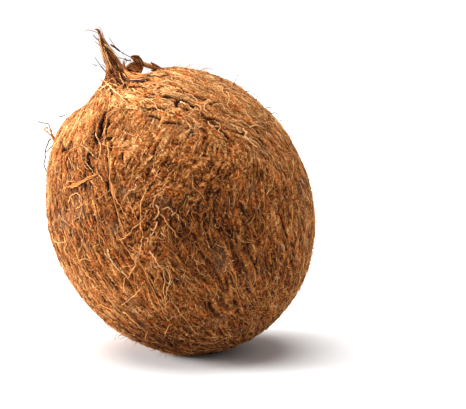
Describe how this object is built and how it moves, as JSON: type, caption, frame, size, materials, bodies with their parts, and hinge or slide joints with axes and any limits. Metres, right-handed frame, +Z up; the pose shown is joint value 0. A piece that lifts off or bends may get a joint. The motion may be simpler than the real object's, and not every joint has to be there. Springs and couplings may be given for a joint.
{
  "type": "coconut",
  "caption": "Whole brown coconut in its matted coir coat, with a tuft of fibres at the stem end and a small flat that it rests on.",
  "frame": {"origin": "middle of the small flat that the nut rests on", "axes": "+Z up, along the height from the flat to the tuft's tip; the stem axis leans 27 degrees from +Z towards -X; the side with the seam faces -Y"},
  "size_m": [0.1195, 0.116, 0.1408],
  "materials": {
    "coir": "matte"
  },
  "bodies": {
    "root": {"coconut": "coir"}
  },
  "joints": []
}
